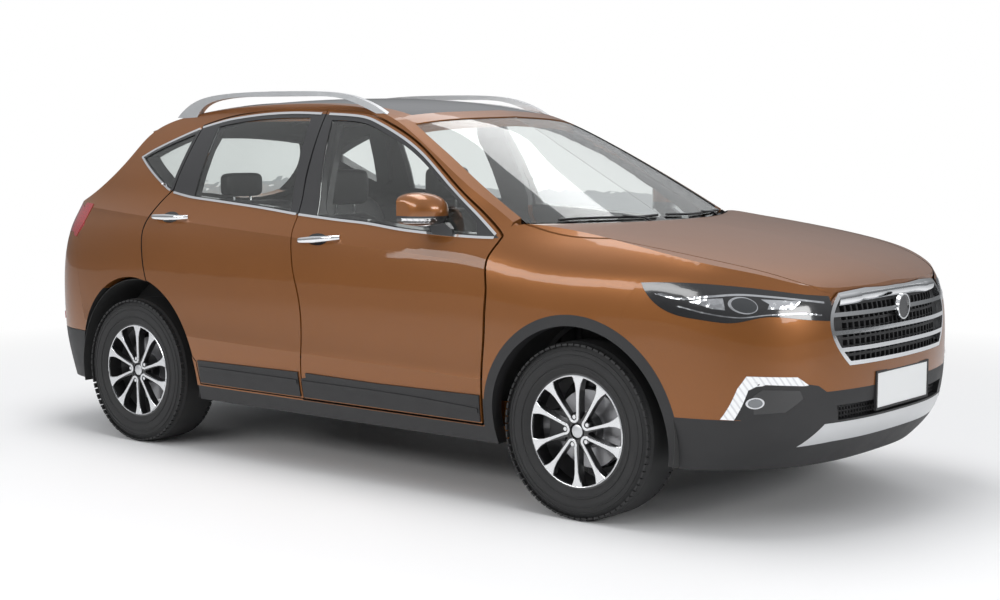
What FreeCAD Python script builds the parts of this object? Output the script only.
import FreeCAD, Part
import math
import os

# A five-door crossover family car, in millimetres.
# X points forward, Y to the left, Z up. The origin is on the ground, under the middle of the car.
V = FreeCAD.Vector

# Driving sizes
WHEELBASE = 2675.0
FRONT_OVERHANG = 955.5
REAR_OVERHANG = 955.5
BODY_WIDTH = 1820.0
BELT_HEIGHT = 1150.0
ROOF_HEIGHT = 1680.0
TYRE_RADIUS = 352.0
TYRE_WIDTH = 225.0
RIM_RADIUS = 243.0
WHEEL_FACE = 868.0

# Walls, gaps and fits
DOOR_THICK = 110.0
FRAME_THICK = 45.0
PILLAR_CLEAR = 12.0
PILLAR_THICK = 36.0
PANEL_THICK = 28.0
LAMP_DEPTH = 75.0
GLASS_THICK = 5.0
GLASS_SINK = 4.0
SHUT_GAP = 6.0
HINGE_GAP = 10.0
SEAM = 3.0
SEAT = 0.3
PIN_FIT = 0.05
PIN_RADIUS = 6.0
ARCH_RADIUS = 452.0
ARCH_RING = 44.0
ARCH_DROP = 8.0
CENTRE_LAP = 40.0
PAST_CENTRE = 1100.0 + CENTRE_LAP
REDRAW_POINTS = 24

FRONT_AXLE = WHEELBASE / 2
REAR_AXLE = -WHEELBASE / 2
ARCH_Z = TYRE_RADIUS + ARCH_DROP

# The car that was measured, whose shape the sizes above stretch
MEASURED_AXLE = 1337.5
MEASURED_OVERHANG = 955.5
MEASURED_HALF_WIDTH = 910.0
MEASURED_BELT = 1150.0
MEASURED_ROOF = 1680.0


def along(x):
    """Place along the car, stretched with the wheelbase and the overhangs."""
    if x > MEASURED_AXLE:
        return FRONT_AXLE + (x - MEASURED_AXLE) * FRONT_OVERHANG / MEASURED_OVERHANG
    if x < -MEASURED_AXLE:
        return REAR_AXLE + (x + MEASURED_AXLE) * REAR_OVERHANG / MEASURED_OVERHANG
    return x * WHEELBASE / (2 * MEASURED_AXLE)


def across(y):
    """Place across the car, stretched with its width."""
    return y * BODY_WIDTH / (2 * MEASURED_HALF_WIDTH)


def up(z):
    """Height, stretched with the belt line and the roof."""
    if z > MEASURED_BELT:
        scale = (ROOF_HEIGHT - BELT_HEIGHT) / (MEASURED_ROOF - MEASURED_BELT)
        return BELT_HEIGHT + (z - MEASURED_BELT) * scale
    return z * BELT_HEIGHT / MEASURED_BELT


def at(x, y, z):
    return V(along(x), across(y), up(z))


def spread(a, b, t):
    return a + (b - a) * t


def table(points, x):
    """Value read from a list of (x, value) points by straight lines."""
    if x <= points[0][0]:
        return points[0][1]
    for (x0, v0), (x1, v1) in zip(points, points[1:]):
        if x <= x1:
            return spread(v0, v1, (x - x0) / (x1 - x0))
    return points[-1][1]


def box(x0, x1, y0, y1, z0, z1):
    return Part.makeBox(x1 - x0, y1 - y0, z1 - z0, V(x0, y0, z0))


def body_box(x0, x1, y0, y1, z0, z1):
    """A box given on the measured car and stretched with it."""
    a = at(x0, y0, z0)
    b = at(x1, y1, z1)
    return box(a.x, b.x, a.y, b.y, a.z, b.z)


def rod(a, b, radius):
    """Round bar from a to b."""
    return Part.makeCylinder(radius, (b - a).Length, a, b - a)


def mirrored(shape):
    return shape.mirror(V(0, 0, 0), V(0, 1, 0))


def both(shape):
    """The piece on the right and its mirror image on the left, apart."""
    return Part.Compound([shape, mirrored(shape)])


def whole(shape):
    """A right half and its mirror image, joined on the centre plane."""
    return shape.fuse(mirrored(shape))


def wire_of(runs, place):
    """Closed wire of runs: two points make a line, more make a smooth curve."""
    edges = []
    for run in runs:
        points = [place(*p) for p in run]
        if len(points) == 2:
            edges.append(Part.makeLine(points[0], points[1]))
        else:
            curve = Part.BSplineCurve()
            curve.interpolate(points)
            edges.append(curve.toShape())
    return Part.Wire(edges)


def grown(face, grow):
    """The face with its outline moved outwards, its curves redrawn as plain splines."""
    if not grow:
        return face
    runs = []
    for edge in face.makeOffset2D(grow).OuterWire.OrderedEdges:
        count = 2 if isinstance(edge.Curve, Part.Line) else REDRAW_POINTS
        points = edge.discretize(count)
        if edge.Orientation == "Reversed":
            points.reverse()
        runs.append([(p,) for p in points])
    for before, run in zip(runs[-1:] + runs[:-1], runs):
        run[0] = before[-1]
    return Part.Face(wire_of(runs, lambda p: p))


def side_face(runs, grow=0.0):
    """Outline in side view, as a face well outside the right side."""
    return grown(Part.Face(wire_of(runs, lambda x, z: V(along(x), -1100.0, up(z)))), grow)


def side_cutter(runs, grow=0.0, depth=900.0):
    return side_face(runs, grow).extrude(V(0, depth, 0))


def lapped(runs, across_index):
    """Half outline from centre plane to centre plane, closed a little past that plane."""
    def past(point):
        return tuple(CENTRE_LAP if i == across_index else v for i, v in enumerate(point))

    first = runs[0][0]
    last = runs[-1][-1]
    return runs + [[last, past(last)], [past(last), past(first)], [past(first), first]]


def plan_cutter(runs, grow=0.0):
    """Half outline in plan view, pushed up through the car."""
    face = Part.Face(wire_of(lapped(runs, 1), lambda x, y: V(along(x), across(y), 0)))
    return grown(face, grow).extrude(V(0, 0, 2000))


def end_cutter(runs, x0, x1, grow=0.0):
    """Half outline in front view, pushed from x0 to x1."""
    face = Part.Face(wire_of(lapped(runs, 0), lambda y, z: V(along(x0), across(y), up(z))))
    return grown(face, grow).extrude(V(along(x1) - along(x0), 0, 0))


def sheet(grid):
    """Smooth sheet pulled by a grid of points."""
    counts = (len(grid), len(grid[0]))
    degrees = [min(3, n - 1) for n in counts]
    knots = [list(range(n - d + 1)) for n, d in zip(counts, degrees)]
    repeats = [[d + 1] + [1] * (len(k) - 2) + [d + 1] for k, d in zip(knots, degrees)]
    surface = Part.BSplineSurface()
    surface.buildFromPolesMultsKnots(grid, repeats[0], repeats[1], knots[0], knots[1],
                                     False, False, degrees[0], degrees[1])
    return surface.toShape()


def sunk(grid, depth):
    """The grid of a sheet moved inwards along its own normals."""
    if not depth:
        return grid
    last_row = len(grid) - 1
    last_column = len(grid[0]) - 1
    moved = []
    for i, row in enumerate(grid):
        new_row = []
        for j, point in enumerate(row):
            run = grid[min(i + 1, last_row)][j] - grid[max(i - 1, 0)][j]
            width = row[min(j + 1, last_column)] - row[max(j - 1, 0)]
            if j == 0:
                width = V(0, -1, 0)
            normal = run.cross(width).normalize()
            if normal.z < 0:
                normal = normal * -1
            new_row.append(point - normal * depth)
        moved.append(new_row)
    return moved


# Plan outline of the right half at its widest, from the middle of the tail round to the nose
PLAN = [(-2293, 0), (-2293, 230), (-2265, 430), (-2200, 600), (-2115, 710), (-2035, 775),
        (-1950, 818), (-1850, 847), (-1700, 868), (-1450, 888), (-1150, 902), (-750, 909),
        (-300, 910), (150, 910), (550, 910), (900, 910), (1200, 908), (1400, 905),
        (1600, 893), (1800, 862), (1950, 817), (2065, 752), (2155, 660), (2215, 560),
        (2268, 380), (2293, 200), (2293, 0)]
PLAN_KIND = ["tail", "tail", "tail", "tail", "corner", "quarter", "quarter", "quarter", "quarter",
             "door", "door", "door", "door", "door", "door", "door", "fender", "fender", "fender",
             "fender", "cheek", "nose", "nose", "nose", "nose", "nose", "nose"]
# How far the body side tucks in at each height, for each stretch of the plan
SIDE_HEIGHTS = [250, 340, 450, 560, 680, 800, 900, 980, 1050, 1110, 1170, 1230]
TUCK = {
    "tail": [110, 50, 15, 0, 0, 8, 40, 62, 85, 105, 135, 175],
    "corner": [80, 40, 12, 2, 0, 5, 24, 45, 68, 95, 125, 158],
    "quarter": [52, 32, 10, 3, 0, 1, 8, 25, 48, 82, 112, 138],
    "door": [52, 32, 10, 3, 0, 1, 5, 15, 33, 66, 100, 128],
    "fender": [52, 32, 10, 3, 0, 1, 8, 25, 80, 150, 215, 270],
    "cheek": [90, 34, 9, 1, 0, 3, 18, 50, 105, 165, 222, 275],
    "nose": [130, 35, 8, 0, 0, 5, 30, 80, 130, 180, 230, 280],
}
# Above the belt the side leans in: height and share of the width at the last row above
LEAN = [(1300, 0.974), (1450, 0.882), (1580, 0.783), (1640, 0.715), (1720, 0.60)]

# Windscreen, roof and rear slope: places along (x, z) at each of these distances across
TOP_ACROSS = [0, -300, -560, -760, -980]
TOP = [
    [(1430, 1000), (1405, 1000), (1330, 1005), (1230, 1015), (1080, 1030)],
    [(1235, 1112), (1205, 1115), (1125, 1128), (1000, 1146), (830, 1165)],
    [(930, 1278), (905, 1280), (835, 1288), (700, 1300), (540, 1300)],
    [(630, 1440), (605, 1441), (535, 1443), (405, 1437), (240, 1420)],
    [(380, 1580), (350, 1577), (270, 1566), (130, 1542), (-30, 1500)],
    [(150, 1645), (130, 1641), (60, 1620), (-60, 1580), (-200, 1520)],
    [(-150, 1674), (-155, 1669), (-175, 1645), (-220, 1595), (-300, 1530)],
    [(-500, 1684), (-500, 1679), (-500, 1653), (-500, 1602), (-500, 1535)],
    [(-900, 1674), (-900, 1669), (-895, 1642), (-890, 1592), (-880, 1525)],
    [(-1250, 1644), (-1250, 1639), (-1230, 1610), (-1200, 1560), (-1150, 1495)],
    [(-1480, 1600), (-1475, 1596), (-1430, 1570), (-1350, 1520), (-1250, 1455)],
    [(-1620, 1545), (-1610, 1541), (-1555, 1512), (-1450, 1462), (-1330, 1400)],
    [(-1740, 1450), (-1725, 1448), (-1650, 1425), (-1520, 1385), (-1380, 1340)],
    [(-1910, 1300), (-1890, 1300), (-1805, 1298), (-1660, 1285), (-1480, 1270)],
    [(-2060, 1180), (-2045, 1180), (-1980, 1180), (-1850, 1180), (-1700, 1180)],
    [(-2150, 1135), (-2140, 1136), (-2085, 1140), (-1960, 1150), (-1830, 1150)],
    [(-2260, 1095), (-2255, 1097), (-2220, 1110), (-2110, 1130), (-2000, 1130)],
    [(-2390, 1060), (-2385, 1062), (-2360, 1080), (-2290, 1110), (-2200, 1110)],
]
# Hood and the deck behind it: heights at each of these distances across. A row is swept back by
# its share of HOOD_BACK, as the hood's rear edge is.
HOOD_ACROSS = [0, -200, -405, -560, -700, -800, -980]
HOOD_BACK = [0, 13, 58, 125, 190, 250, 375]
HOOD = [
    (2450, 0, [700, 700, 690, 680, 670, 660, 650]),
    (2340, 0, [850, 845, 825, 800, 770, 750, 730]),
    (2275, 0, [918, 912, 885, 855, 825, 810, 800]),
    (2190, 0, [968, 965, 948, 928, 905, 895, 880]),
    (2050, 0, [1022, 1020, 1010, 1001, 985, 975, 960]),
    (1830, 0, [1072, 1070, 1062, 1054, 1044, 1030, 1010]),
    (1640, 0, [1104, 1102, 1095, 1088, 1078, 1066, 1050]),
    (1440, 0.3, [1130, 1128, 1123, 1119, 1114, 1108, 1100]),
    (1340, 0.8, [1140, 1139, 1137, 1136, 1136, 1134, 1130]),
    (1262, 1, [1147, 1147, 1147, 1148, 1150, 1152, 1143]),
    (1215, 1, [1134, 1134, 1134, 1135, 1138, 1141, 1133]),
    (1172, 1, [1075] * 7),
    (1050, 1, [1045] * 7),
    (400, 0, [1020] * 7),
    (-1000, 0, [1000] * 7),
    (-2400, 0, [1000] * 7),
]


def side_grid(low, high):
    """Grid of the body side, sunk by low under the belt and by high above it."""
    last = len(PLAN) - 1
    grid = []
    for i, (x, y) in enumerate(PLAN):
        if i < 2:
            inward = (1.0, 0.0)
        elif i > last - 2:
            inward = (-1.0, 0.0)
        else:
            run_x = PLAN[i + 1][0] - PLAN[i - 1][0]
            run_y = PLAN[i + 1][1] - PLAN[i - 1][1]
            length = math.hypot(run_x, run_y)
            inward = (run_y / length, -run_x / length)
        tuck = TUCK[PLAN_KIND[i]]
        column = []
        for z, t in zip(SIDE_HEIGHTS, tuck):
            sink = low if z < MEASURED_BELT else high
            point = at(x + inward[0] * t, -(y + inward[1] * t), z)
            column.append(point + V(inward[0] * sink, -inward[1] * sink, 0))
        for z, share in LEAN:
            t = tuck[-1]
            point = at(x + inward[0] * t, -(y + inward[1] * t) * share, z)
            column.append(point + V(inward[0] * high, -inward[1] * high, 0))
        grid.append(column)
    for column in (grid[0], grid[-1]):
        for point in column:
            point.y = 0
    return grid


def side_volume(low, high):
    """Everything inside the body side, right half, up past the roof."""
    grid = side_grid(low, high)
    skin = sheet(grid)
    corners = [grid[0][0], grid[0][-1], grid[-1][-1], grid[-1][0]]
    bottom = min(skin.Edges, key=lambda e: e.CenterOfMass.z)
    top = max(skin.Edges, key=lambda e: e.CenterOfMass.z)
    tail = min(skin.Edges, key=lambda e: e.CenterOfMass.x)
    nose = max(skin.Edges, key=lambda e: e.CenterOfMass.x)
    low_line = Part.makeLine(corners[0], corners[3])
    high_line = Part.makeLine(corners[1], corners[2])
    faces = [skin]
    for edges in ([bottom, low_line], [top, high_line], [tail, high_line, nose, low_line]):
        faces.append(Part.Face(Part.Wire(Part.__sortEdges__(edges))))
    shell = Part.Compound(faces)
    shell.sewShape()
    solid = Part.makeSolid(shell.Shells[0])
    solid.fix(1e-4, 1e-4, 1e-4)
    return solid


def cabin_block(sink):
    """Everything under the sheet of the screen and roof, right half."""
    rows = [[at(x, y, z) for (x, z), y in zip(row, TOP_ACROSS)] for row in TOP]
    return sheet(sunk(rows, sink)).extrude(V(0, 0, -800))


def bay_block(sink):
    """Everything under the sheet of the hood, right half."""
    rows = [[at(x - share * back, y, z) for z, y, back in zip(row, HOOD_ACROSS, HOOD_BACK)]
                 for x, share, row in HOOD]
    return sheet(sunk(rows, sink)).extrude(V(0, 0, -1500))


def body_volume(low, high):
    """Right half of the whole body, its side sunk by low and its top by high."""
    depth = min(low, high)
    cabin = cabin_block(high)
    bay = bay_block(depth)
    return side_volume(low, high).common(bay.fuse(cabin))


OUTER = body_volume(0, 0)
SKIN_SEAT = body_volume(-SEAT, -SEAT)
GLASS_OUT = body_volume(GLASS_SINK, GLASS_SINK)
GLASS_IN = body_volume(GLASS_SINK + GLASS_THICK, GLASS_SINK + GLASS_THICK)
PANEL_IN = body_volume(PANEL_THICK, PANEL_THICK)
LAMP_IN = body_volume(LAMP_DEPTH, LAMP_DEPTH)
DOOR_IN = body_volume(DOOR_THICK, FRAME_THICK)
PILLAR_OUT = body_volume(DOOR_THICK + PILLAR_CLEAR, FRAME_THICK + PILLAR_CLEAR)
PILLAR_IN = body_volume(DOOR_THICK + PILLAR_CLEAR + PILLAR_THICK,
                        FRAME_THICK + PILLAR_CLEAR + PILLAR_THICK)
GLASS_SHELL = GLASS_OUT.cut(GLASS_IN)
PANEL_SHELL = OUTER.cut(PANEL_IN)
LAMP_SHELL = OUTER.cut(LAMP_IN)
DOOR_SHELL = OUTER.cut(DOOR_IN)
FRAME_SHELL = OUTER.cut(PILLAR_IN)

# Width of the skin at each height, used to slant the rear faces of the doors
SKIN_WIDTH = [(260, 860), (350, 880), (450, 900), (600, 908), (900, 905), (1000, 893),
              (1060, 875), (1100, 850), (1150, 822), (1300, 762), (1450, 690), (1580, 612)]
DOOR_SLANT = 0.34
SLANT_START = 2.0

# Lines of the right side, in side view
DOOR_FOOT = 334
SPLIT_LOW = [(-165, DOOR_FOOT), (-160, 480), (-145, 650), (-165, 800), (-200, 900), (-225, 1000),
             (-240, 1060), (-243, 1130)]
SPLIT_HIGH = [(-243, 1130), (-290, 1608)]
FRONT_DOOR = [
    [(870, DOOR_FOOT), (880, 480), (890, 600), (900, 700), (903, 800), (905, 900), (897, 1010),
     (920, 1060), (935, 1095)],
    [(935, 1095), (915, 1112)],
    [(915, 1112), (800, 1186), (700, 1246), (600, 1310), (500, 1374), (400, 1434), (300, 1484),
     (200, 1524), (100, 1558), (0, 1586), (-100, 1598), (-290, 1608)],
    list(reversed(SPLIT_HIGH)),
    list(reversed(SPLIT_LOW)),
    [(-165, DOOR_FOOT), (870, DOOR_FOOT)],
]
REAR_DOOR = [
    SPLIT_LOW,
    SPLIT_HIGH,
    [(-290, 1608), (-500, 1614), (-700, 1607), (-900, 1587), (-1000, 1567), (-1090, 1542)],
    [(-1090, 1542), (-1150, 1235)],
    [(-1150, 1235), (-1225, 1165), (-1272, 1080), (-1262, 950), (-1240, 860), (-1200, 760)],
    [(-1200, 760), (-868, 440)],
    [(-868, 440), (-860, DOOR_FOOT)],
    [(-860, DOOR_FOOT), (-165, DOOR_FOOT)],
]
FRONT_PANE = [
    [(815, 1100), (600, 1102), (400, 1112), (200, 1130), (0, 1139), (-125, 1147)],
    [(-125, 1147), (-228, 1566)],
    [(-228, 1566), (-100, 1562), (0, 1549), (100, 1520), (200, 1485), (300, 1445), (400, 1395),
     (500, 1335), (600, 1270), (700, 1205), (790, 1150)],
    [(790, 1150), (815, 1100)],
]
REAR_PANE = [
    [(-300, 1160), (-500, 1178), (-800, 1198), (-985, 1210)],
    [(-985, 1210), (-975, 1538)],
    [(-975, 1538), (-900, 1551), (-700, 1572), (-500, 1579), (-372, 1578)],
    [(-372, 1578), (-300, 1160)],
]
QUARTER_PANE = [
    [(-1175, 1240), (-1230, 1262), (-1300, 1300), (-1380, 1342), (-1450, 1385)],
    [(-1450, 1385), (-1300, 1445), (-1200, 1478), (-1125, 1502)],
    [(-1125, 1502), (-1175, 1240)],
]
FRONT_APERTURE = [
    [(830, 470), (840, 900), (845, 1095)],
    [(845, 1095), (700, 1200), (500, 1330), (300, 1440), (100, 1515), (-60, 1545), (-200, 1555)],
    [(-200, 1555), (-130, 1100), (-80, 470)],
    [(-80, 470), (830, 470)],
]
REAR_APERTURE = [
    [(-260, 470), (-310, 1100), (-380, 1560)],
    [(-380, 1560), (-500, 1565), (-700, 1558), (-900, 1538), (-1010, 1515)],
    [(-1010, 1515), (-1080, 1250)],
    [(-1080, 1250), (-1180, 1120), (-1190, 960), (-1130, 860)],
    [(-1130, 860), (-820, 560)],
    [(-820, 560), (-790, 470)],
    [(-790, 470), (-260, 470)],
]


def slanted(runs):
    """Side prism whose walls run forward as they go inboard, so a door's tail clears its frame."""
    depth = 600.0

    def moved(x, z):
        behind_skin = MEASURED_HALF_WIDTH - table(SKIN_WIDTH, z)
        return V(along(x) - SLANT_START - DOOR_SLANT * across(behind_skin),
                 -across(MEASURED_HALF_WIDTH), up(z))

    face = Part.Face(wire_of(runs, moved))
    inner = face.extrude(V(DOOR_SLANT * depth, depth, 0))
    outer = face.extrude(V(-DOOR_SLANT * 100, -100, 0))
    return inner.fuse(outer)


def arch(centre_x, radius, y0=-1100.0, y1=-430.0):
    """Drum of a wheel arch on the right side."""
    return Part.makeCylinder(radius, y1 - y0, V(centre_x, y0, ARCH_Z), V(0, 1, 0))


# Door hinges: one upright pin line on each door, in two notches
HINGE_HEIGHTS = (540.0, 750.0)
HINGE_SINK = 17.0
FRONT_SETBACK = 27.0
REAR_SETBACK = 67.0
NOSE_SWING = 101.0
ARM_HALF = 6.0
ARM_HEIGHT = 36.0
NOTCH_HEIGHT = 48.0
PIN_REACH = 20.0
FRONT_HINGE_X = along(890) - FRONT_SETBACK
REAR_HINGE_X = along(-160) - SHUT_GAP - REAR_SETBACK
HINGE_Y = -(BODY_WIDTH / 2 - HINGE_SINK)


def hinge_notches(x):
    """Room for the two arms, open to the door's front and inner faces."""
    cuts = []
    for z in HINGE_HEIGHTS:
        z0 = up(z) - NOTCH_HEIGHT / 2
        cuts.append(box(x - ARM_HALF - SHUT_GAP, x + 90, HINGE_Y - ARM_HALF - 2.5, HINGE_Y + 200,
                        z0, z0 + NOTCH_HEIGHT))
        pin = NOTCH_HEIGHT / 2 + PIN_REACH + SEAT
        cuts.append(rod(V(x, HINGE_Y, up(z) - pin), V(x, HINGE_Y, up(z) + pin),
                        PIN_RADIUS + PIN_FIT))
    return cuts


def hinge_arms(x, reach):
    """The two arms and their pins, from the pillar out to the pin line."""
    parts = []
    for z in HINGE_HEIGHTS:
        z0 = up(z) - ARM_HEIGHT / 2
        arm = box(x - ARM_HALF, x + ARM_HALF, HINGE_Y, HINGE_Y + reach, z0, z0 + ARM_HEIGHT)
        half_pin = NOTCH_HEIGHT / 2 + PIN_REACH
        pin = rod(V(x, HINGE_Y, up(z) - half_pin), V(x, HINGE_Y, up(z) + half_pin), PIN_RADIUS)
        parts.append(arm.fuse(pin))
    return parts


# Sill beam under the doors
SILL_TOP = 420.0
SILL_FOOT = 256.0
SILL_COVER_TOP = 322.0
SILL_COVER_THICK = 60.0
SILL_INNER = 690.0
SILL_ENDS = (-905.0, 950.0)
SILL_SHELL_IN = body_volume(SILL_COVER_THICK, SILL_COVER_THICK)
SILL_SEAT_IN = body_volume(SILL_COVER_THICK + SEAT, SILL_COVER_THICK + SEAT)


def sill_beam(clear=0.0):
    upper = body_box(SILL_ENDS[0], SILL_ENDS[1], -785, -SILL_INNER, SILL_COVER_TOP, SILL_TOP)
    if clear:
        a = upper.BoundBox
        return box(a.XMin - clear, a.XMax + clear, a.YMin - clear, a.YMax + clear, a.ZMin - clear,
                   a.ZMax + clear)
    lower = body_box(SILL_ENDS[0], SILL_ENDS[1], -900, -SILL_INNER, SILL_FOOT, SILL_COVER_TOP)
    return upper.fuse(lower.common(SILL_SEAT_IN))


ROOF_SIDE = -575.0


def door(runs, pane, hinge_x, front):
    shape = DOOR_SHELL.common(side_cutter(runs)).common(slanted(runs))
    shape = shape.cut(side_cutter(pane))
    shape = shape.cut(box(-3000, 3000, across(ROOF_SIDE) - SHUT_GAP, 0, up(1400), 2000))
    shape = shape.cut(sill_beam(SHUT_GAP))
    for cut in hinge_notches(hinge_x):
        shape = shape.cut(cut)
    if front:
        nose = box(hinge_x + 26, hinge_x + 90, HINGE_Y + 108, HINGE_Y + 300, up(990), up(1130))
        return shape.cut(nose)
    swing = Part.makeCylinder(NOSE_SWING, 900, V(hinge_x, HINGE_Y, 200))
    corner = box(hinge_x, hinge_x + 100, HINGE_Y + 40, HINGE_Y + 200, 300, up(1000)).cut(swing)
    return shape.cut(corner).cut(arch(REAR_AXLE, ARCH_RADIUS + SHUT_GAP))


REAR_DOOR_RIGHT = door(REAR_DOOR, REAR_PANE, REAR_HINGE_X, False)
FRONT_DOOR_RIGHT = door(FRONT_DOOR, FRONT_PANE, FRONT_HINGE_X, True).cut(side_cutter(REAR_DOOR, SHUT_GAP))


HOOD_PLAN = [
    [(1245, 0), (1210, -300), (1120, -560), (1010, -775)],
    [(1010, -775), (1440, -757), (1640, -737), (1830, -700), (2020, -618), (2171, -500), (2205, -405)],
    [(2205, -405), (2235, -200), (2242, 0)],
]
SCREEN_PLAN = [
    [(1200, 0), (1165, -300), (1075, -560), (985, -738)],
    [(985, -738), (700, -700), (500, -652), (300, -600), (245, -580)],
    [(245, -580), (310, -300), (340, 0)],
]
ROOF_END = -1390
ROOF_PLAN = [
    [(1000, 0), (1000, ROOF_SIDE)],
    [(1000, ROOF_SIDE), (ROOF_END, ROOF_SIDE)],
    [(ROOF_END, ROOF_SIDE), (ROOF_END, 0)],
]
ROOF_PANE = [
    [(250, 0), (225, -300), (170, -520)],
    [(170, -520), (-1000, -520)],
    [(-1000, -520), (-1010, 0)],
]
# Tailgate: half width at each distance from its hinge line, so that it clears its frame all the way up
GATE_WIDTHS = [(118, 568), (180, 588), (238, 610), (391, 655), (500, 682), (600, 695), (670, 692),
               (740, 668), (804, 640), (917, 607), (1040, 594), (1167, 590), (1300, 588)]
GATE_TOP_WIDTH = 565
GATE_FOOT = 720
GATE_LEAD = 30.0
GATE_GAP = 10.0
GATE_HINGE_Y = 300.0
GATE_KNUCKLE = 12.0
GATE_PIN = 5.0
GATE_AXIS = at(-1430, 0, 1593)
REAR_PANE_END = [
    [(0, 1478), (-300, 1472), (-520, 1448)],
    [(-520, 1448), (-590, 1350), (-630, 1240), (-640, 1190)],
    [(-640, 1190), (-600, 1168), (-300, 1160), (0, 1158)],
]
REAR_BUMPER = [
    [(-1740, 515), (-1775, 640), (-1850, 1003)],
    [(-1850, 1003), (-2450, 1003)],
    [(-2450, 1003), (-2450, 515)],
    [(-2450, 515), (-1740, 515)],
]
TAIL_LAMP = [
    [(-1815, 1050), (-1850, 1006)],
    [(-1850, 1006), (-2400, 1006)],
    [(-2400, 1006), (-2400, 1150)],
    [(-2400, 1150), (-2000, 1155), (-1900, 1130), (-1815, 1050)],
]
FENDER = [
    [(840, 440), (1540, 440)],
    [(1540, 440), (1560, 740), (1585, 890), (1632, 951)],
    [(1632, 951), (1800, 958), (2000, 945), (2120, 925), (2240, 897), (2400, 880)],
    [(2400, 880), (2400, 1250)],
    [(2400, 1250), (1040, 1250)],
    [(1040, 1250), (936, 1098)],
    [(936, 1098), (840, 1098)],
    [(840, 1098), (840, 440)],
]
HEADLAMP = [
    [(1635, 952), (1800, 958), (2000, 945), (2120, 925), (2240, 897), (2400, 880)],
    [(2400, 880), (2400, 820)],
    [(2400, 820), (2150, 832), (2080, 838), (2000, 818), (1900, 822), (1780, 840), (1635, 952)],
]
FRONT_BUMPER = [
    [(1540, 452), (1560, 740), (1585, 890), (1632, 951)],
    [(1632, 951), (2450, 951)],
    [(2450, 951), (2450, 452)],
    [(2450, 452), (1540, 452)],
]
LAMP_INNER = 462.0
GRILLE_END = [
    [(0, 925), (-200, 925), (-405, 914)],
    [(-405, 914), (-480, 830), (-390, 642)],
    [(-390, 642), (0, 640)],
]
VALANCE_END = [
    [(0, 552), (-505, 552)],
    [(-505, 552), (-545, 578)],
    [(-545, 578), (-735, 615)],
    [(-735, 615), (-765, 455)],
    [(-765, 455), (-1000, 452)],
    [(-1000, 452), (-1000, 200)],
    [(-1000, 200), (0, 200)],
]
SKID_END = [
    [(0, 428), (-495, 428)],
    [(-495, 428), (-580, 345)],
    [(-580, 345), (-420, 352)],
    [(-420, 352), (0, 352)],
]
INTAKE_END = [
    [(0, 495), (-450, 495)],
    [(-450, 495), (-430, 437)],
    [(-430, 437), (0, 437)],
]
NOSE_FROM = 1900
CHROME_BARS = (835, 768, 703)
BAR_HALF = 8
FRAME_RIM = 16
PLATE_WIDTH = 440.0
PLATE_HEIGHT = 140.0
PLATE_THICK = 6.0
PLATE_Z = 528.0
PLATE_FACE = 2288.0
TAIL_TO = -2450


def gate_space(grow=0.0, lead=GATE_LEAD):
    """Room of the tailgate: turned about its hinge line, and grown by its shut gap on request."""
    start = GATE_WIDTHS[0]
    end = GATE_WIDTHS[-1]

    def place(r, w):
        return V(GATE_AXIS.x - r, -across(w) - grow, GATE_AXIS.z)

    inside = -CENTRE_LAP - grow
    runs = [[(0, inside), (0, GATE_TOP_WIDTH)], [(0, GATE_TOP_WIDTH), start], GATE_WIDTHS,
            [end, (end[0], inside)], [(end[0], inside), (0, inside)]]
    face = Part.Face(wire_of(runs, place))
    face.rotate(GATE_AXIS, V(0, 1, 0), 25)
    space = face.revolve(GATE_AXIS, V(0, 1, 0), -100)
    half = across(GATE_TOP_WIDTH) + grow
    space = space.fuse(box(GATE_AXIS.x - 60, GATE_AXIS.x + lead, -half, CENTRE_LAP, up(1500), up(1740)))
    return space.common(box(-3000, 0, -1000, CENTRE_LAP, up(GATE_FOOT) - grow, 2000))


GATE_SPACE = gate_space()
GATE_OPENING = gate_space(SHUT_GAP, GATE_LEAD + GATE_GAP)

HOOD_CUT = plan_cutter(HOOD_PLAN)
HOOD_FOOT = 885
SCREEN_CUT = plan_cutter(SCREEN_PLAN)
FRONT_ARCH = arch(FRONT_AXLE, ARCH_RADIUS)
WHEELHOUSE_OUT = -(BODY_WIDTH / 2 - 158.0)
WHEELHOUSE_IN = -600.0
WHEELHOUSE_WALL = 8.0
REAR_ARCH = arch(REAR_AXLE, ARCH_RADIUS, -1100.0, WHEELHOUSE_OUT).fuse(
    arch(REAR_AXLE, ARCH_RADIUS + WHEELHOUSE_WALL + SEAT, WHEELHOUSE_OUT, WHEELHOUSE_IN + 20))
PANEL_SEAT_IN = body_volume(PANEL_THICK + SEAT, PANEL_THICK + SEAT)
HOOD_CLEAR = OUTER.cut(body_volume(PANEL_THICK + SHUT_GAP, PANEL_THICK + SHUT_GAP)).common(
    plan_cutter(HOOD_PLAN, SHUT_GAP)).common(box(0, 3000, -1000, CENTRE_LAP, up(HOOD_FOOT) - SHUT_GAP, 2000))
PLATE_POCKET = box(along(PLATE_FACE) - PLATE_THICK - SEAT, along(PLATE_FACE) + 100,
                   -PLATE_WIDTH / 2 - SEAM, PLATE_WIDTH / 2 + SEAM,
                   PLATE_Z - PLATE_HEIGHT / 2 - SEAM, PLATE_Z + PLATE_HEIGHT / 2 + SEAM)


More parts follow.
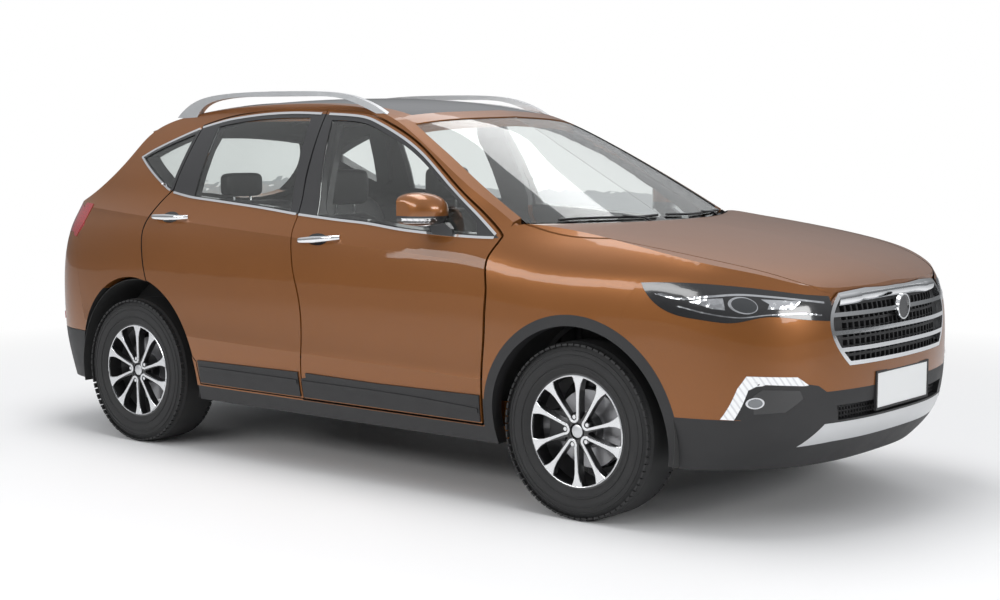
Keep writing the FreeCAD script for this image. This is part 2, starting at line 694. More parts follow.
def side_frame():
    """Right half of the welded body side: pillars, rocker, roof rail and quarter panel."""
    shape = FRAME_SHELL.common(body_box(-2150, 960, -1000, 0, SILL_COVER_TOP, 1740))
    shape = shape.cut(side_cutter(FENDER, SEAT).cut(PANEL_SEAT_IN))
    shape = shape.cut(plan_cutter(ROOF_PLAN, SEAT))
    shape = shape.cut(GATE_OPENING)
    shape = shape.cut(side_cutter(REAR_BUMPER, SEAT))
    shape = shape.cut(side_cutter(TAIL_LAMP, SEAT))
    shape = shape.cut(REAR_ARCH).cut(arch(FRONT_AXLE, ARCH_RADIUS + SEAT))
    shape = shape.cut(body_box(-2300, -1000, -1000, 0, 200, 515))
    opening = side_cutter(FRONT_DOOR, HINGE_GAP).fuse(side_cutter(REAR_DOOR, SHUT_GAP))
    shape = shape.cut(opening.cut(PILLAR_OUT))
    for runs in (FRONT_APERTURE, REAR_APERTURE, QUARTER_PANE):
        shape = shape.cut(side_cutter(runs))
    shape = shape.cut(SCREEN_CUT)
    shape = biggest(shape.cut(body_box(880 - SEAT, 1100, -1000, -780, 200, 440)))
    shape = shape.fuse(sill_beam().cut(REAR_ARCH))
    for x in (FRONT_HINGE_X, REAR_HINGE_X):
        for arm in hinge_arms(x, DOOR_THICK + 8):
            shape = shape.fuse(arm)
    return shape


def rear_wheelhouse():
    """Inner drum over the rear wheel, with a wall towards the load floor."""
    drum = arch(REAR_AXLE, ARCH_RADIUS + WHEELHOUSE_WALL, WHEELHOUSE_OUT + SEAT, WHEELHOUSE_IN)
    hollow = arch(REAR_AXLE, ARCH_RADIUS, WHEELHOUSE_OUT - 1, WHEELHOUSE_IN - WHEELHOUSE_WALL)
    return drum.cut(hollow).common(box(REAR_AXLE - 500, REAR_AXLE + 500, -1000, 0, up(350), 1000))


def biggest(shape):
    return max(shape.Solids, key=lambda s: s.Volume)


# Hood hinge: a pin on each side, on a bracket of the bulkhead, in a lug under the hood
HOOD_AXIS = at(1030, 0, 1112)
HOOD_PIN = 5.0
HOOD_BRACKET = (-738.0, -700.0)
HOOD_LUG = (-764.0, -744.0)


def hood_hinge_rod(radius, y0, y1):
    return rod(HOOD_AXIS + V(0, y0, 0), HOOD_AXIS + V(0, y1, 0), radius)


def hood():
    outer = bay_block(0).common(side_volume(0, 0))
    inner = bay_block(PANEL_THICK).common(side_volume(PANEL_THICK, PANEL_THICK))
    shape = outer.cut(inner).common(HOOD_CUT)
    shape = biggest(shape.common(body_box(900, 2400, -1000, 0, HOOD_FOOT, 1300)))
    x = HOOD_AXIS.x
    z = HOOD_AXIS.z
    pocket = box(x - 26, x + 28, HOOD_BRACKET[0] - 5, HOOD_BRACKET[1] + 6, z - 200, z + 12)
    lug = box(x - 12, x + 12, HOOD_LUG[0], HOOD_LUG[1], z - 12, z + 24).common(OUTER)
    bore = hood_hinge_rod(HOOD_PIN + PIN_FIT, HOOD_LUG[0] - 6, HOOD_LUG[1] + 3)
    return shape.cut(pocket).fuse(lug).cut(bore)


def hood_bracket():
    x = HOOD_AXIS.x
    z = HOOD_AXIS.z
    post = box(x - 14, x + 14, HOOD_BRACKET[0], HOOD_BRACKET[1], up(985), z + 6)
    foot = box(x - 14, x + 14, HOOD_BRACKET[0], -across(650), up(985), up(1010))
    return post.fuse(foot).fuse(hood_hinge_rod(HOOD_PIN, HOOD_LUG[0], HOOD_BRACKET[0]))


def fender():
    shape = PANEL_SHELL.common(side_cutter(FENDER))
    shape = shape.cut(side_cutter(FRONT_DOOR, HINGE_GAP))
    shape = shape.cut(plan_cutter(HOOD_PLAN, SHUT_GAP)).cut(FRONT_ARCH)
    shape = shape.cut(plan_cutter(SCREEN_PLAN, SEAT))
    shape = shape.cut(body_box(900, 1300, -720, 0, 700, 1300)).cut(body_box(900, 1040, -781, 0, 700, 1300))
    shape = shape.cut(side_cutter(HEADLAMP))
    return biggest(shape.cut(body_box(2100, 2450, -450, 0, 800, 1300)))


def headlamp():
    shape = LAMP_SHELL.common(side_cutter(HEADLAMP, -SEAT))
    shape = shape.cut(body_box(1500, 2450, -LAMP_INNER, 0, 700, 1300))
    shape = shape.cut(end_cutter(GRILLE_END, NOSE_FROM, 2450, SEAT))
    return biggest(shape.cut(plan_cutter(HOOD_PLAN, SHUT_GAP)))


def front_bumper():
    shape = PANEL_SHELL.common(side_cutter(FRONT_BUMPER, 0.0, PAST_CENTRE))
    shape = shape.cut(side_cutter(FENDER, SEAT)).cut(side_cutter(HEADLAMP, SEAT))
    shape = shape.cut(plan_cutter(HOOD_PLAN, SHUT_GAP)).cut(FRONT_ARCH)
    shape = shape.cut(end_cutter(GRILLE_END, NOSE_FROM, 2450, SEAT))
    shape = shape.cut(end_cutter(VALANCE_END, 1500, 2450, SEAT))
    return biggest(shape.cut(PLATE_POCKET))


def front_valance():
    shape = PANEL_SHELL.common(end_cutter(VALANCE_END, 1500, 2450)).cut(FRONT_ARCH)
    shape = shape.cut(end_cutter(SKID_END, 1800, 2450, SEAT))
    shape = shape.cut(end_cutter(INTAKE_END, 1800, 2450))
    return biggest(shape.cut(PLATE_POCKET))


def skid_plate():
    return biggest(PANEL_SHELL.common(end_cutter(SKID_END, 1800, 2450)))


def grille():
    """Dark lattice behind the bright bars, joined to the bumper's opening."""
    shape = PANEL_SEAT_IN.cut(LAMP_IN).common(end_cutter(GRILLE_END, NOSE_FROM, 2450, -SEAT))
    slots = []
    pitch = 32.0
    for row in range(8):
        z = up(660) + row * pitch
        for column in range(11):
            y = -36.0 * column - 18.0
            slots.append(box(along(1900), along(2400), y - 13, y + 13, z - 11, z + 11))
    shape = shape.cut(Part.Compound(slots))
    return biggest(shape.cut(HOOD_CLEAR))


def grille_trim():
    frame = end_cutter(GRILLE_END, NOSE_FROM, 2450, -SEAT)
    inner = end_cutter(GRILLE_END, NOSE_FROM, 2450, -FRAME_RIM)
    keep = frame.cut(inner)
    shape = PANEL_SHELL.common(keep)
    for z in CHROME_BARS:
        bar = body_box(NOSE_FROM, 2450, -500, 0, z - BAR_HALF, z + BAR_HALF)
        shape = shape.fuse(PANEL_SHELL.common(bar).common(frame))
    shape = shape.cut(body_box(1900, 2450, -500, 0, 931, 1300))
    return biggest(shape.cut(HOOD_CLEAR))


def rear_bumper():
    shape = PANEL_SHELL.common(side_cutter(REAR_BUMPER, 0.0, PAST_CENTRE))
    shape = shape.cut(GATE_OPENING).cut(REAR_ARCH)
    return biggest(shape)


def rear_valance():
    shape = PANEL_SHELL.common(body_box(-2400, -1740, -1000, 0, 262, 515 - SEAM))
    return biggest(shape.cut(arch(REAR_AXLE, ARCH_RADIUS)))


def tail_lamp():
    shape = LAMP_SHELL.common(side_cutter(TAIL_LAMP, -SEAT))
    return biggest(shape.cut(GATE_OPENING))


def cladding():
    """Black arch rings, rocker cover and feet, in one moulding per side."""
    cover = OUTER.cut(SILL_SHELL_IN)
    shape = cover.common(body_box(-880, 900, -1000, 0, SILL_FOOT, SILL_COVER_TOP))
    shape = shape.cut(arch(FRONT_AXLE, ARCH_RADIUS - ARCH_RING))
    shape = shape.cut(arch(REAR_AXLE, ARCH_RADIUS - ARCH_RING))
    for axle in (FRONT_AXLE, REAR_AXLE):
        ring = arch(axle, ARCH_RADIUS - SEAT).cut(arch(axle, ARCH_RADIUS - ARCH_RING))
        shape = shape.fuse(cover.common(ring).common(box(-3000, 3000, -1000, 0, SILL_FOOT, 1000)))
    foot = cover.common(body_box(880, 1100, -1000, 0, SILL_FOOT, 440 - SEAT))
    foot = foot.cut(side_cutter(FRONT_DOOR, HINGE_GAP)).cut(arch(FRONT_AXLE, ARCH_RADIUS - ARCH_RING))
    return biggest(shape.fuse(foot))


# Spoiler lip: its section at each distance across
LIP = [
    (0, [(-1470, 1597), (-1690, 1535), (-1688, 1520), (-1600, 1480)]),
    (-300, [(-1460, 1590), (-1668, 1531), (-1666, 1516), (-1580, 1478)]),
    (-480, [(-1425, 1572), (-1610, 1524), (-1608, 1510), (-1530, 1475)]),
    (-548, [(-1400, 1556), (-1568, 1516), (-1567, 1503), (-1500, 1470)]),
]


def gate_hinge_rod(radius, half_length):
    return rod(GATE_AXIS + V(0, -GATE_HINGE_Y - half_length, 0),
               GATE_AXIS + V(0, -GATE_HINGE_Y + half_length, 0), radius)


def tailgate():
    shape = DOOR_SHELL.common(GATE_SPACE)
    sections = [Part.makePolygon([at(x, y, z) for x, z in section + section[:1]]) for y, section in LIP]
    lip = Part.makeLoft(sections, True, False)
    shape = biggest(shape.fuse(lip.cut(DOOR_IN)).cut(end_cutter(REAR_PANE_END, -1560, TAIL_TO)))
    slot = GATE_KNUCKLE + SHUT_GAP
    notch = box(GATE_AXIS.x - slot - 2, GATE_AXIS.x + GATE_LEAD + 10, -GATE_HINGE_Y - slot,
                -GATE_HINGE_Y + slot, up(1500), up(1700))
    bore = gate_hinge_rod(GATE_PIN + PIN_FIT, GATE_KNUCKLE + PIN_REACH + SEAT)
    return biggest(shape.cut(notch).cut(bore))


def gate_hinge_arm():
    """Arm of the roof that carries one hinge pin of the tailgate."""
    knuckle = gate_hinge_rod(GATE_KNUCKLE, GATE_KNUCKLE)
    bar = box(GATE_AXIS.x, along(ROOF_END) + 12, -GATE_HINGE_Y - GATE_KNUCKLE, -GATE_HINGE_Y + GATE_KNUCKLE,
              GATE_AXIS.z - GATE_KNUCKLE, GATE_AXIS.z + GATE_KNUCKLE)
    pin = gate_hinge_rod(GATE_PIN, GATE_KNUCKLE + PIN_REACH)
    return knuckle.fuse(bar).common(OUTER).fuse(pin)


def rear_glass():
    return biggest(GLASS_SHELL.common(end_cutter(REAR_PANE_END, -1560, TAIL_TO, -SEAT)))


def windscreen():
    pane = cabin_block(GLASS_SINK).cut(cabin_block(GLASS_SINK + GLASS_THICK))
    return biggest(pane.common(plan_cutter(SCREEN_PLAN, -SEAT)))


def roof_panel():
    shape = DOOR_SHELL.common(plan_cutter(ROOF_PLAN)).common(box(-3000, 3000, -1000, 0, up(1300), 2000))
    shape = shape.cut(SCREEN_CUT).cut(plan_cutter(ROOF_PANE))
    return biggest(shape.cut(GATE_OPENING)).fuse(gate_hinge_arm())


def roof_glass():
    shape = GLASS_SHELL.common(plan_cutter(ROOF_PANE, -SEAT))
    return biggest(shape.common(box(-3000, 3000, -1000, 0, up(1300), 2000)))


def side_glass(runs):
    return biggest(GLASS_SHELL.common(side_cutter(runs, -SEAT)))


# Cowl strip: distance across, hood edge and its height, screen edge and its height
COWL = [
    (0, 1245, 1128, 1200, 1120),
    (-300, 1210, 1124, 1165, 1123),
    (-560, 1120, 1118, 1075, 1138),
    (-690, 1058, 1110, 1013, 1143),
]
BULKHEAD_FACE = 1030.0


def cowl():
    """Black strip between the hood and the windscreen, on a tray that stands on the bulkhead."""
    sections = []
    for y, ahead, ahead_z, behind, behind_z in COWL:
        section = [(ahead + 15, ahead_z), (behind - 15, behind_z), (behind - 15, behind_z - 10),
                   (behind + 6, behind_z - 12), (behind + 6, 1030), (behind + 18, 1030),
                   (behind + 18, ahead_z - 11), (ahead + 15, ahead_z - 10)]
        sections.append(Part.makePolygon([at(x, y, z) for x, z in section + section[:1]]))
    strip = Part.makeLoft(sections, True, True)
    strip = strip.cut(plan_cutter(HOOD_PLAN, SHUT_GAP)).cut(plan_cutter(SCREEN_PLAN, SEAT))
    tray = body_box(1050, 1215, -640, 0, 1020, 1045)
    foot = body_box(1000, 1060, -640, 0, 950, 1045).cut(body_box(900, BULKHEAD_FACE, -700, 0, 900, 1100))
    foot.translate(V(SEAT, 0, 0))
    return biggest(strip.fuse(tray).fuse(foot))


# Running gear sizes
WHEEL_MID = 770.0
KINGPIN = 720.0
KINGPIN_RADIUS = 14.0
HUB_BORE = 30.0
SPINDLE_FIT = 0.05
RIM_WALL = 8.0
SPOKE_PAIRS = 5
BOLT_CIRCLE = 57.0
BOLT_ANGLE = 104.0
BOLT_HEAD = 9.0
SPOKE_FOOT = 40.0
SPOKE_DEPTH = 30.0
SPOKES = ((-18.0, -16.0), (18.0, 24.0))
SPOKE_STATIONS = ((0.0, 8.0), (0.4, 6.5), (0.7, 8.5), (0.88, 15.0), (1.0, 25.0))
DISC_RADIUS = 155.0
DISC_THICK = 24.0
PLATE_NEAR = DISC_RADIUS + 7.0
PLATE_FAR = PLATE_NEAR + 24.0
KNUCKLE_HALF = PLATE_NEAR - 6.0
AXLE_Z = TYRE_RADIUS


def ring_of(profile, centre):
    """Turned ring about the wheel's axis; the profile is (y, radius) from centre."""
    points = [V(centre.x, centre.y + y, centre.z + r) for y, r in profile]
    face = Part.Face(Part.makePolygon(points + [points[0]]))
    return face.revolve(centre, V(0, 1, 0), 360)


def tyre(centre):
    """Tyre with rounded shoulders and a bulged wall."""
    half = TYRE_WIDTH / 2
    seat = RIM_RADIUS - 14.0
    profile = [(-half + 18, seat), (-half + 4, seat + 22), (-half, seat + 58), (-half + 6, seat + 90),
               (-half + 20, TYRE_RADIUS - 8), (-half + 36, TYRE_RADIUS - 1), (-half + 60, TYRE_RADIUS),
               (half - 60, TYRE_RADIUS), (half - 36, TYRE_RADIUS - 1), (half - 20, TYRE_RADIUS - 8),
               (half - 6, seat + 90), (half, seat + 58), (half - 4, seat + 22), (half - 18, seat)]
    return ring_of(profile, centre)


def spoke_face(foot, lean, reach):
    """Outline of one spoke that stands up from the hub: slim in the middle, wide at the rim."""
    start = V(foot, 0, SPOKE_FOOT)
    end = V(reach * math.sin(math.radians(lean)), 0, reach * math.cos(math.radians(lean)))
    run = end - start
    sideways = V(run.z, 0, -run.x).normalize()
    one = [start + run * t + sideways * half for t, half in SPOKE_STATIONS]
    other = [start + run * t - sideways * half for t, half in reversed(SPOKE_STATIONS)]
    runs = [one, [one[-1], other[0]], other, [other[-1], one[0]]]
    return Part.Face(wire_of(runs, V))


def rim(centre, side):
    """Alloy wheel with a barrel, five pairs of spokes, a hub and the brake disc."""
    half = TYRE_WIDTH / 2 - 18.0
    seat = RIM_RADIUS - 14.0 - SEAT
    out = side * (WHEEL_FACE - WHEEL_MID)
    face_in = out - side * 34.0
    barrel = [(-half, seat), (half, seat), (half, seat - RIM_WALL), (-half, seat - RIM_WALL)]
    shape = ring_of(barrel, centre)
    flange = [(side * (half + SEAT), seat - RIM_WALL), (side * (half + SEAT), seat + 8),
              (side * (half + 5), seat + 8), (side * (half + 5), seat - RIM_WALL)]
    shape = shape.fuse(ring_of(flange, centre))
    hub_in = side * 10.0
    hub = [(face_in, HUB_BORE + SPINDLE_FIT), (hub_in, HUB_BORE + SPINDLE_FIT), (hub_in, 76.0), (face_in, 76.0)]
    if side < 0:
        hub = list(reversed(hub))
    shape = shape.fuse(ring_of(hub, centre))
    sunk_in = face_in - side * 6.0
    rise = face_in + side * 26.0
    collar = [(sunk_in, 34.0), (rise, 34.0), (rise, 54.0), (sunk_in, 54.0)]
    shape = shape.fuse(ring_of(collar, centre))
    for pair in range(SPOKE_PAIRS):
        turn = side * (BOLT_ANGLE - 90.0 + pair * 360.0 / SPOKE_PAIRS)
        bolt = rod(V(0, sunk_in, BOLT_CIRCLE), V(0, face_in + side * 14.0, BOLT_CIRCLE), BOLT_HEAD)
        pieces = [bolt]
        for foot, lean in SPOKES:
            spoke = spoke_face(side * foot, side * lean, seat - RIM_WALL / 2)
            spoke = spoke.extrude(V(0, SPOKE_DEPTH + 4, 0))
            spoke.translate(V(0, min(face_in - side * 4, face_in + side * SPOKE_DEPTH), 0))
            pieces.append(spoke)
        for piece in pieces:
            piece.rotate(V(0, 0, 0), V(0, 1, 0), turn)
            piece.translate(centre)
            shape = shape.fuse(piece)
    disc0 = hub_in - side * DISC_THICK
    disc = [(disc0, HUB_BORE + SPINDLE_FIT), (disc0, DISC_RADIUS), (hub_in, DISC_RADIUS),
            (hub_in, HUB_BORE + SPINDLE_FIT)]
    shape = shape.fuse(ring_of(disc, centre))
    return biggest(shape)


def knuckle(side):
    """Front upright: kingpin bore, arms to the spindle, and the brake caliper."""
    centre = V(FRONT_AXLE, side * WHEEL_MID, AXLE_Z)
    pin_y = side * KINGPIN
    body = box(FRONT_AXLE - 34, FRONT_AXLE + 34, min(pin_y - 30, pin_y + 30), max(pin_y - 30, pin_y + 30),
               AXLE_Z - KNUCKLE_HALF, AXLE_Z + KNUCKLE_HALF)
    stub = rod(V(FRONT_AXLE, pin_y, AXLE_Z), V(FRONT_AXLE, side * (WHEEL_FACE - 32), AXLE_Z), HUB_BORE)
    shape = body.fuse(stub)
    bore = rod(V(FRONT_AXLE, pin_y, AXLE_Z - PLATE_FAR), V(FRONT_AXLE, pin_y, AXLE_Z + PLATE_FAR),
               KINGPIN_RADIUS + PIN_FIT)
    disc_y = side * (WHEEL_MID + 10 - DISC_THICK / 2)
    caliper = box(FRONT_AXLE - 176, FRONT_AXLE - 100, disc_y - 36, disc_y + 36, AXLE_Z - 60, AXLE_Z + 60)
    gap = box(FRONT_AXLE - 170, FRONT_AXLE - 90, disc_y - 18, disc_y + 18, AXLE_Z - 70, AXLE_Z + 70)
    arm_y = (pin_y - side * 10, disc_y - side * 20)
    arm = box(FRONT_AXLE - 120, FRONT_AXLE - 30, min(arm_y), max(arm_y), AXLE_Z - 30, AXLE_Z + 30)
    shape = shape.fuse(caliper.cut(gap)).fuse(arm)
    return biggest(shape.cut(bore))


STRUT_TOWER_Z = 850.0


def front_suspension():
    """Right half of the crossmember, lower arm, strut and kingpin."""
    x = FRONT_AXLE
    pin = rod(V(x, -KINGPIN, AXLE_Z - PLATE_FAR), V(x, -KINGPIN, AXLE_Z + PLATE_FAR), KINGPIN_RADIUS)
    low = (AXLE_Z - PLATE_FAR, AXLE_Z - PLATE_NEAR)
    foot = box(x - 30, x + 30, -KINGPIN - 24, -KINGPIN + 24, *low)
    arm = box(x - 30, x + 30, -KINGPIN, -300, *low)
    member = box(x - 130, x + 130, -420, 0, low[0], AXLE_Z - 90)
    head = box(x - 30, x + 30, -KINGPIN - 24, -562, AXLE_Z + PLATE_NEAR, AXLE_Z + PLATE_FAR)
    strut = rod(V(x, -590, AXLE_Z + PLATE_NEAR + 4), V(x - 15, -555, up(STRUT_TOWER_Z) + 30), 26)
    strut = strut.common(box(0, 3000, -1000, 0, 0, up(STRUT_TOWER_Z) - SEAT))
    return pin.fuse(foot).fuse(arm).fuse(member).fuse(head).fuse(strut)


def rear_suspension():
    """Right half of the rear crossmember, arms, spindle, spring, damper and brake caliper."""
    x = REAR_AXLE
    top = up(RAIL_FOOT) - SEAT
    parts = [
        rod(V(x, -690, AXLE_Z), V(x, -(WHEEL_FACE - 32), AXLE_Z), HUB_BORE),
        box(x - 50, x + 50, -722, -680, AXLE_Z - 90, AXLE_Z + 90),
        box(x - 40, x + 40, -700, -300, AXLE_Z - 110, AXLE_Z - 70),
        box(x - 150, x + 120, -420, 0, AXLE_Z - 110, AXLE_Z - 50),
        box(x + 30, along(-795), -640, -600, AXLE_Z - 80, AXLE_Z - 30),
        rod(V(x, -540, AXLE_Z - 70), V(x, -540, top), 50),
        box(x - 140, x, -580, -540, AXLE_Z - 110, AXLE_Z - 80),
        rod(V(x - 110, -560, AXLE_Z - 90), V(x - 110, -560, top), 22),
        rear_caliper(),
    ]
    shape = parts[0]
    for part in parts[1:]:
        shape = shape.fuse(part)
    return shape


def rear_caliper():
    disc_y = -(WHEEL_MID + 10 - DISC_THICK / 2)
    shape = box(REAR_AXLE + 96, REAR_AXLE + 176, disc_y - 36, disc_y + 36, AXLE_Z - 55, AXLE_Z + 55)
    gap = box(REAR_AXLE + 90, REAR_AXLE + 170, disc_y - 18, disc_y + 18, AXLE_Z - 70, AXLE_Z + 70)
    arm = box(REAR_AXLE + 40, REAR_AXLE + 120, disc_y + 20, -690, AXLE_Z - 30, AXLE_Z + 30)
    return shape.cut(gap).fuse(arm)


# Floor, bay and cabin
FLOOR_Z = 300.0
FLOOR_THICK = 30.0
DECK_Z = 640.0
RAIL_FOOT = 560.0
LOAD_BOARD_THICK = 6.0
LOAD_BOARD_FRONT = -1220.0
LOAD_BOARD_REAR = -2050.0
LOAD_BOARD_HALF = 500.0
TUNNEL_HALF = 130.0
TUNNEL_TOP = 460.0
TURN_CLEAR = math.hypot(TYRE_RADIUS, WHEEL_MID + TYRE_WIDTH / 2 - KINGPIN) + 6.0


def floor_pan():
    """Right half of the floor: bulkhead, tunnel, footwells, rear deck with its load board, bay rails."""
    inner = -(SILL_INNER - SEAT)
    shape = body_box(-760, 1030, inner, 0, FLOOR_Z, FLOOR_Z + FLOOR_THICK)
    beam = body_box(-2300, -2120, -600, 0, 470, DECK_Z + FLOOR_THICK).common(PANEL_SEAT_IN)
    parts = [
        body_box(-760, 1000, -TUNNEL_HALF, 0, FLOOR_Z, TUNNEL_TOP),
        body_box(1000, BULKHEAD_FACE, inner, 0, FLOOR_Z, 1010),
        body_box(1000, 2060, -440, -380, 430, 530),
        body_box(-790, -760, inner, 0, FLOOR_Z, DECK_Z),
        body_box(-2130, -760, -590, 0, DECK_Z, DECK_Z + FLOOR_THICK),
        body_box(LOAD_BOARD_REAR, LOAD_BOARD_FRONT, -LOAD_BOARD_HALF, 0, DECK_Z,
                 DECK_Z + FLOOR_THICK + LOAD_BOARD_THICK),
        body_box(-900, -760, inner, -590, DECK_Z, DECK_Z + FLOOR_THICK),
        body_box(-2130, -760, -590, -520, RAIL_FOOT, DECK_Z),
        biggest(beam),
        body_box(1000, 1800, -450, -440, 430, 940),
        body_box(1230, 1420, -640, -440, STRUT_TOWER_Z, 960),
        body_box(2020, 2060, -590, 0, 430, 530),
        body_box(2020, 2060, -560, 0, 830, 880),
        body_box(2020, 2060, -590, -555, 430, 880),
        hood_bracket(),
    ]
    for part in parts:
        shape = shape.fuse(part)
    turning = Part.makeCylinder(TURN_CLEAR, 2 * TYRE_RADIUS + 20, V(FRONT_AXLE, -KINGPIN, 0))
    return shape.cut(turning.common(box(900, along(1062), -1000, 0, 0, 2000)))


def tunnel_room():
    return body_box(-770, 1010, -TUNNEL_HALF, TUNNEL_HALF, FLOOR_Z, TUNNEL_TOP).makeOffsetShape(SEAT, 0.01)


def engine():
    return body_box(1300, 1800, -380, 330, 420, 960)


def seat_front(y):
    """Front seat: cushion, back and head restraint on runners."""
    base = body_box(-330, 180, y - 235, y + 235, 430, 560)
    back = Part.Face(Part.makePolygon([at(-300, y - 225, 520), at(-180, y - 225, 540), at(-330, y - 225, 1130),
                                       at(-430, y - 225, 1130), at(-300, y - 225, 520)]))
    back = back.extrude(V(0, 450, 0))
    head = body_box(-450, -340, y - 130, y + 130, 1170, 1340)
    posts = [rod(at(-390, y + s * 60, 1110), at(-390, y + s * 60, 1200), 7) for s in (-1, 1)]
    runners = [body_box(-300, 150, y + s * 200 - 15, y + s * 200 + 15, FLOOR_Z + FLOOR_THICK + SEAT, 440)
               for s in (-1, 1)]
    shape = base.fuse(back).fuse(head)
    for part in posts + runners:
        shape = shape.fuse(part)
    return shape


def rear_seat():
    """Right half of the rear bench with its back and two head restraints."""
    base = body_box(-1130, -620, -600, 0, 440, 600)
    foot = body_box(-750, -620, -600, 0, FLOOR_Z + FLOOR_THICK + SEAT, 450)
    notch = body_box(-1140, -755, -640, 10, 430, DECK_Z + FLOOR_THICK + SEAT)
    back = Part.Face(Part.makePolygon([at(-1010, -600, 675), at(-870, -600, 680), at(-1080, -600, 1170),
                                       at(-1180, -600, 1170), at(-1010, -600, 675)])).extrude(V(0, 600, 0))
    pad = body_box(-1000, -755, -600, 0, DECK_Z + FLOOR_THICK + SEAT, 740)
    head = body_box(-1200, -1100, -450, -220, 1190, 1310)
    posts = [rod(at(-1140, y, 1120), at(-1150, y, 1210), 7) for y in (-390, -280)]
    shape = base.cut(notch).fuse(foot).fuse(pad).fuse(back).fuse(head)
    for part in posts:
        shape = shape.fuse(part)
    return shape.cut(tunnel_room())


WHEEL_POST = at(430, 380, 930)
COLUMN_TILT = 24.0
STEER_RADIUS = 185.0


def column_axis():
    angle = math.radians(COLUMN_TILT)
    return V(-math.cos(angle), 0, math.sin(angle))


def dashboard():
    """Dash, binnacle, centre stack and steering column."""
    lines = [[(560, 930), (600, 1010), (720, 1062), (900, 1075), (990, 1040)],
             [(990, 1040), (990, 700)], [(990, 700), (760, 620)], [(760, 620), (620, 700)],
             [(620, 700), (560, 930)]]
    face = Part.Face(wire_of(lines, lambda x, z: V(along(x), across(-690), up(z))))
    shape = face.extrude(V(0, 2 * across(690), 0))
    stack = body_box(600, 900, -120, 120, FLOOR_Z + 160 + SEAT, 720)
    direction = column_axis()
    column = rod(WHEEL_POST - direction * 20, WHEEL_POST - direction * 420, 32)
    pin = rod(WHEEL_POST + direction * 30, WHEEL_POST - direction * 60, 11)
    binnacle = body_box(590, 760, 210, 550, 1000, 1090)
    return shape.fuse(stack).fuse(column).fuse(pin).fuse(binnacle)


def steering_wheel():
    """Rim, hub and three spokes, square to the column."""
    ring = Part.makeTorus(STEER_RADIUS, 15, V(0, 0, 0), V(0, 0, 1))
    hub = Part.makeCylinder(60, 36, V(0, 0, -18))
    spokes = [box(40, STEER_RADIUS, -18, 18, -8, 8), box(-STEER_RADIUS, -40, -18, 18, -8, 8),
              box(-18, 18, -STEER_RADIUS, -40, -8, 8)]
    shape = ring.fuse(hub)
    for part in spokes:
        shape = shape.fuse(part)
    shape = shape.cut(Part.makeCylinder(11 + PIN_FIT, 80, V(0, 0, -50)))
    shape.rotate(V(0, 0, 0), V(0, 0, 1), 90)
    shape.rotate(V(0, 0, 0), V(0, 1, 0), -(90.0 - COLUMN_TILT))
    shape.translate(WHEEL_POST)
    return shape


def roof_rail():
    """Right roof rail: a bar standing off the roof on two feet."""
    path = [(-1320, 1583), (-1200, 1655), (-1000, 1692), (-700, 1702), (-400, 1700), (-150, 1680), (90, 1592)]
    lower = [(90, 1572), (40, 1590), (-150, 1656), (-400, 1677), (-700, 1679), (-1000, 1668), (-1150, 1615),
             (-1180, 1575)]
    runs = [path, [path[-1], lower[0]], lower, [lower[-1], path[0]]]
    face = Part.Face(wire_of(runs, lambda x, z: V(along(x), across(-596), up(z))))
    bar = face.extrude(V(0, 30, 0))
    return biggest(bar.cut(SKIN_SEAT))


def number_plate():
    x = along(PLATE_FACE) - PLATE_THICK
    return box(x, x + PLATE_THICK, -PLATE_WIDTH / 2, PLATE_WIDTH / 2, PLATE_Z - PLATE_HEIGHT / 2,
               PLATE_Z + PLATE_HEIGHT / 2)


# Door mirror: at each distance across, its rear face, its front, its foot and its top
MIRROR = [
    (-812, 575, 632, 1152, 1222),
    (-835, 540, 652, 1138, 1246),
    (-880, 515, 655, 1130, 1258),
    (-930, 500, 632, 1132, 1258),
    (-962, 493, 598, 1142, 1246),
    (-975, 493, 560, 1160, 1222),
]
MIRROR_FOOT = ((588, 1092), (702, 1088), (690, 1118), (655, 1142), (560, 1140))


def door_mirror():
    """Right door mirror: a bowl open to the rear, on a foot that stands on the door's skin."""
    sections = []
    for y, back, front, low, high in MIRROR:
        middle = spread(back, front, 0.45)
        nose = [(back, high), (middle, spread(low, high, 1.04)), (spread(back, front, 0.88),
                spread(low, high, 0.84)), (front, spread(low, high, 0.5)), (spread(back, front, 0.88),
                spread(low, high, 0.12)), (middle, spread(low, high, -0.02)), (back, low)]
        sections.append(wire_of([nose, [(back, low), (back, high)]], lambda x, z: at(x, y, z)))
    head = Part.makeLoft(sections, True, False)
    corners = [at(x, -770, z) for x, z in MIRROR_FOOT + MIRROR_FOOT[:1]]
    foot = Part.Face(Part.makePolygon(corners)).extrude(V(0, -across(90), 0))
    return biggest(head.fuse(foot).cut(SKIN_SEAT))


def write(name, shape):
    solids = shape.Solids
    kept = solids[0] if len(solids) == 1 else Part.Compound(solids)
    kept.exportStep("parts/" + name + ".step")


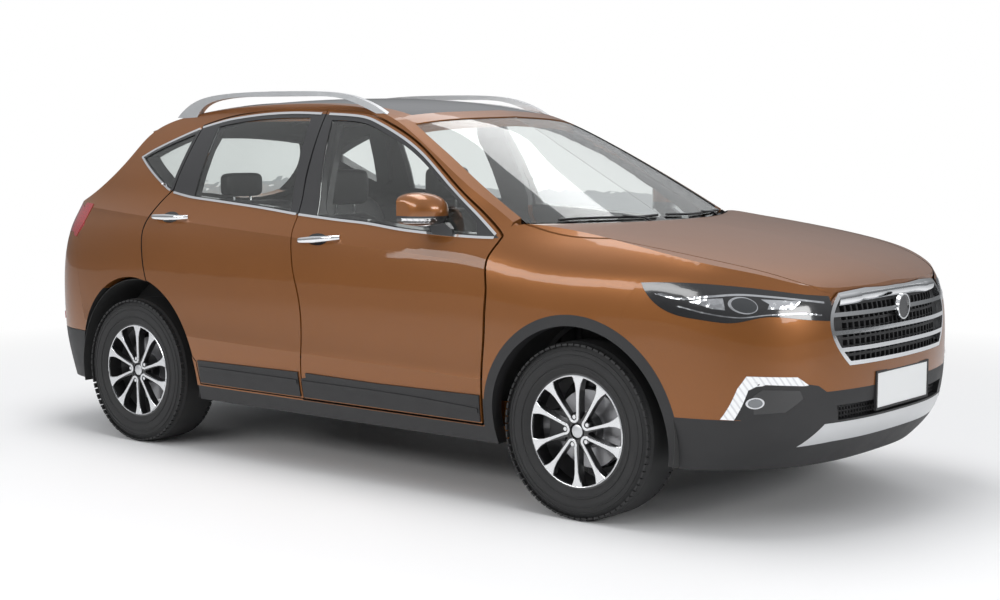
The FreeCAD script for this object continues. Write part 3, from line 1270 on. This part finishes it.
os.makedirs("parts", exist_ok=True)
write("front_door_right", FRONT_DOOR_RIGHT)
write("rear_door_right", REAR_DOOR_RIGHT)
write("front_door_left", mirrored(FRONT_DOOR_RIGHT))
write("rear_door_left", mirrored(REAR_DOOR_RIGHT))
for name, runs in (("front", FRONT_PANE), ("rear", REAR_PANE)):
    pane = side_glass(runs)
    write(name + "_door_glass_right", pane)
    write(name + "_door_glass_left", mirrored(pane))
write("quarter_windows", both(side_glass(QUARTER_PANE)))
write("body_sides", both(side_frame()))
write("hood", whole(hood()))
write("front_fenders", both(fender()))
write("headlamps", both(headlamp()))
write("front_bumper", whole(front_bumper()))
write("front_valance", whole(front_valance()))
write("skid_plate", whole(skid_plate()))
write("grille", whole(grille()))
write("grille_trim", whole(grille_trim()))
write("rear_bumper", whole(rear_bumper()))
write("rear_valance", whole(rear_valance()))
write("tail_lamps", both(tail_lamp()))
write("lower_cladding", both(cladding()))
write("tailgate", whole(tailgate()))
write("tailgate_glass", whole(rear_glass()))
write("windscreen", whole(windscreen()))
write("roof_panel", whole(roof_panel()))
write("roof_glass", whole(roof_glass()))
write("cowl", whole(cowl()))
write("floor_pan", whole(floor_pan()))
write("rear_wheelhouses", both(rear_wheelhouse()))
write("engine", engine())
write("front_suspension", whole(front_suspension()))
write("rear_suspension", whole(rear_suspension()))
write("knuckle_right", knuckle(-1))
write("knuckle_left", knuckle(1))
write("front_seats", Part.Compound([seat_front(-370), seat_front(370)]))
write("rear_seat", whole(rear_seat()))
write("dashboard", dashboard())
write("steering_wheel", steering_wheel())
write("roof_rails", both(roof_rail()))
MIRROR_RIGHT = door_mirror()
write("mirror_right", MIRROR_RIGHT)
write("mirror_left", mirrored(MIRROR_RIGHT))
write("number_plate", number_plate())
for axle_name, axle in (("front", FRONT_AXLE), ("rear", REAR_AXLE)):
    for side_name, side in (("right", -1), ("left", 1)):
        hub = V(axle, side * WHEEL_MID, AXLE_Z)
        write("tyre_" + axle_name + "_" + side_name, tyre(hub))
        write("rim_" + axle_name + "_" + side_name, rim(hub, side))
